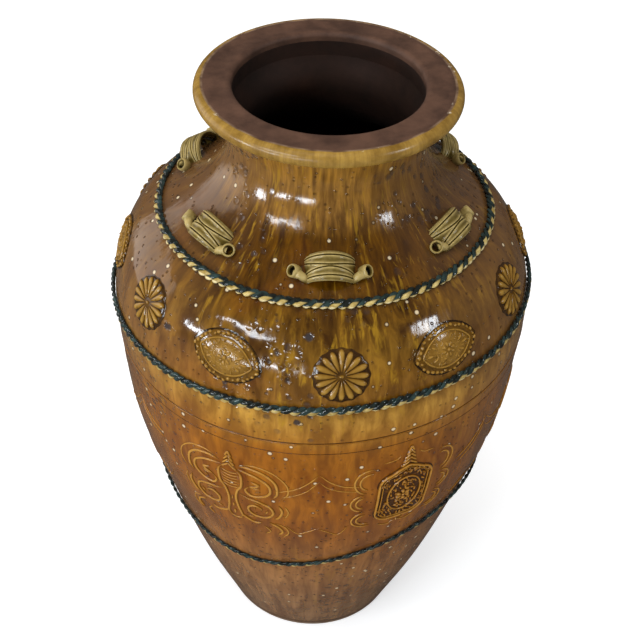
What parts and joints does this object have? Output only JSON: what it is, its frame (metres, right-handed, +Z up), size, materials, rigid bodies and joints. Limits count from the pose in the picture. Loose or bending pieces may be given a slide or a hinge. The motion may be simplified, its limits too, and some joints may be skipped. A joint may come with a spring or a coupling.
{
  "type": "storage jar",
  "caption": "Tall glazed stoneware storage jar with a wide flat rim, looped shoulder lugs, twisted clay ropes and applied floral sprigs.",
  "frame": {"origin": "centre of the foot, on the plane that the jar stands on", "axes": "+Z up through the mouth; -Y is the side that faces the picture's camera, +X is to its right"},
  "size_m": [0.429, 0.4298, 0.7],
  "materials": {
    "body_glaze": "amber glaze in vertical runs, glossy",
    "shoulder_glaze": "olive honey glaze, mottled, glossy",
    "neck_glaze": "brown honey glaze, glossy",
    "rim_clay": "thin dry brown glaze, ochre at the lip",
    "lug_glaze": "pale straw glaze, brown in the grooves",
    "rope_light_glaze": "pale straw glaze",
    "rope_dark_glaze": "iron green glaze, glossy",
    "sprig_glaze": "honey glaze, pale on the high points",
    "panel_glaze": "honey glaze, pale on the high points"
  },
  "bodies": {
    "root": {"base_disc": "body_glaze", "lower_wall": "body_glaze", "belly_wall": "body_glaze", "shoulder_wall": "shoulder_glaze", "neck": "neck_glaze", "mouth_rim": "rim_clay", "lug_strap_1": "lug_glaze", "lug_strap_2": "lug_glaze", "lug_strap_3": "lug_glaze", "lug_strap_4": "lug_glaze", "lug_strap_5": "lug_glaze", "lug_strap_6": "lug_glaze", "lug_curls_1": "lug_glaze", "lug_curls_2": "lug_glaze", "lug_curls_3": "lug_glaze", "lug_curls_4": "lug_glaze", "lug_curls_5": "lug_glaze", "lug_curls_6": "lug_glaze", "upper_rope_light": "rope_light_glaze", "upper_rope_dark": "rope_dark_glaze", "middle_rope_light": "rope_light_glaze", "middle_rope_dark": "rope_dark_glaze", "lower_rope_light": "rope_light_glaze", "lower_rope_dark": "rope_dark_glaze", "rosette_1": "sprig_glaze", "rosette_2": "sprig_glaze", "rosette_3": "sprig_glaze", "rosette_4": "sprig_glaze", "rosette_5": "sprig_glaze", "rosette_6": "sprig_glaze", "medallion_1": "sprig_glaze", "medallion_2": "sprig_glaze", "medallion_3": "sprig_glaze", "medallion_4": "sprig_glaze", "medallion_5": "sprig_glaze", "medallion_6": "sprig_glaze", "lattice_panel_1": "panel_glaze", "lattice_panel_2": "panel_glaze", "lattice_panel_3": "panel_glaze", "vase_panel_1": "panel_glaze", "vase_panel_2": "panel_glaze", "vase_panel_3": "panel_glaze"}
  },
  "joints": []
}
